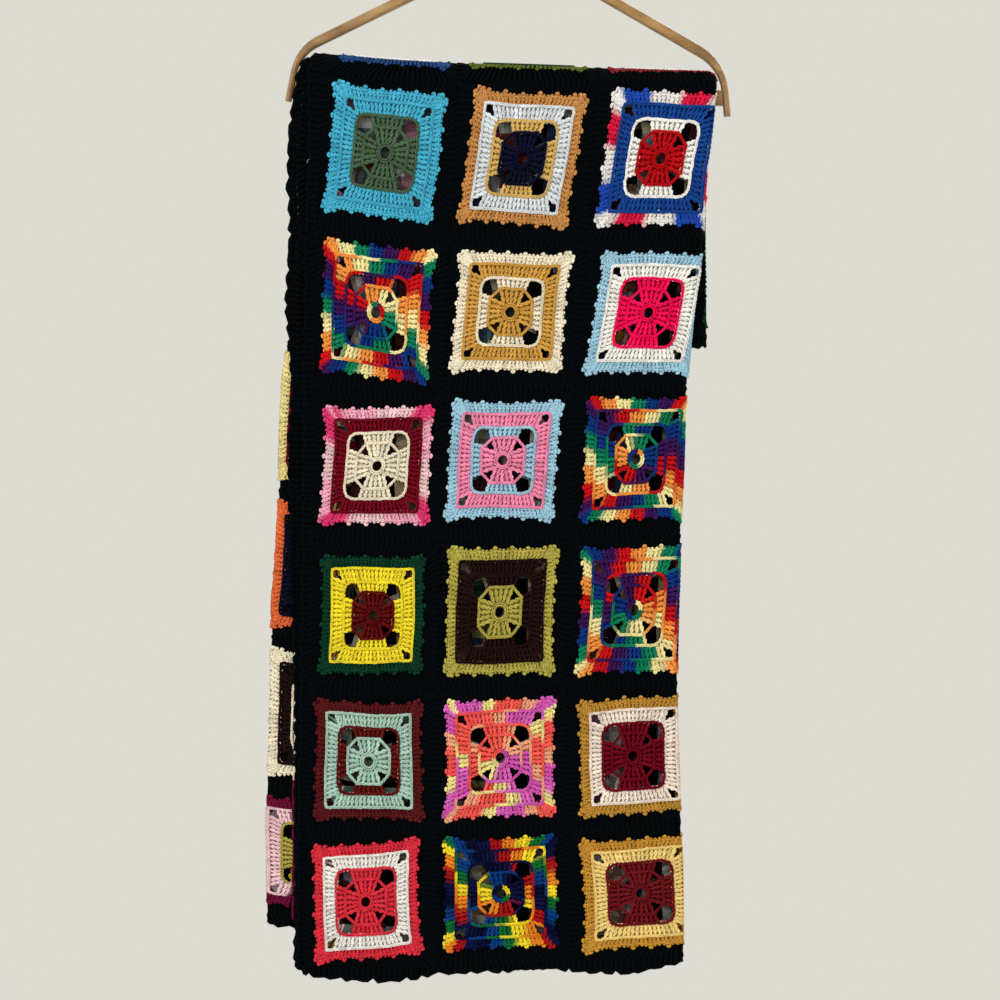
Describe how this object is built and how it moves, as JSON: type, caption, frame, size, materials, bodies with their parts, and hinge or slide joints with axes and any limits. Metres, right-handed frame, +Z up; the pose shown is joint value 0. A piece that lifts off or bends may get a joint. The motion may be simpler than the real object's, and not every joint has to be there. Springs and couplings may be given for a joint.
{
  "type": "granny square blanket on a wooden clothes hanger",
  "caption": "Crocheted patchwork blanket with black borders, folded lengthwise into layers and draped over the bar of a bent wood hanger with a wire hook.",
  "frame": {"origin": "the point of the hook that bears on the rail", "axes": "+Z up, the hanging front faces -Y, +X to the right of a viewer who faces the front"},
  "size_m": [0.4686, 0.0535, 1.1111],
  "materials": {
    "squares": "crocheted wool and acrylic yarn, black with coloured squares",
    "edging": "crocheted black yarn",
    "wood": "clear satin varnish",
    "hook": "plated steel wire"
  },
  "bodies": {
    "root": {"blanket_panel": "squares", "edging": "edging", "hanger_shoulders": "wood", "hanger_bar": "wood", "hanger_hook": "hook"}
  },
  "joints": []
}
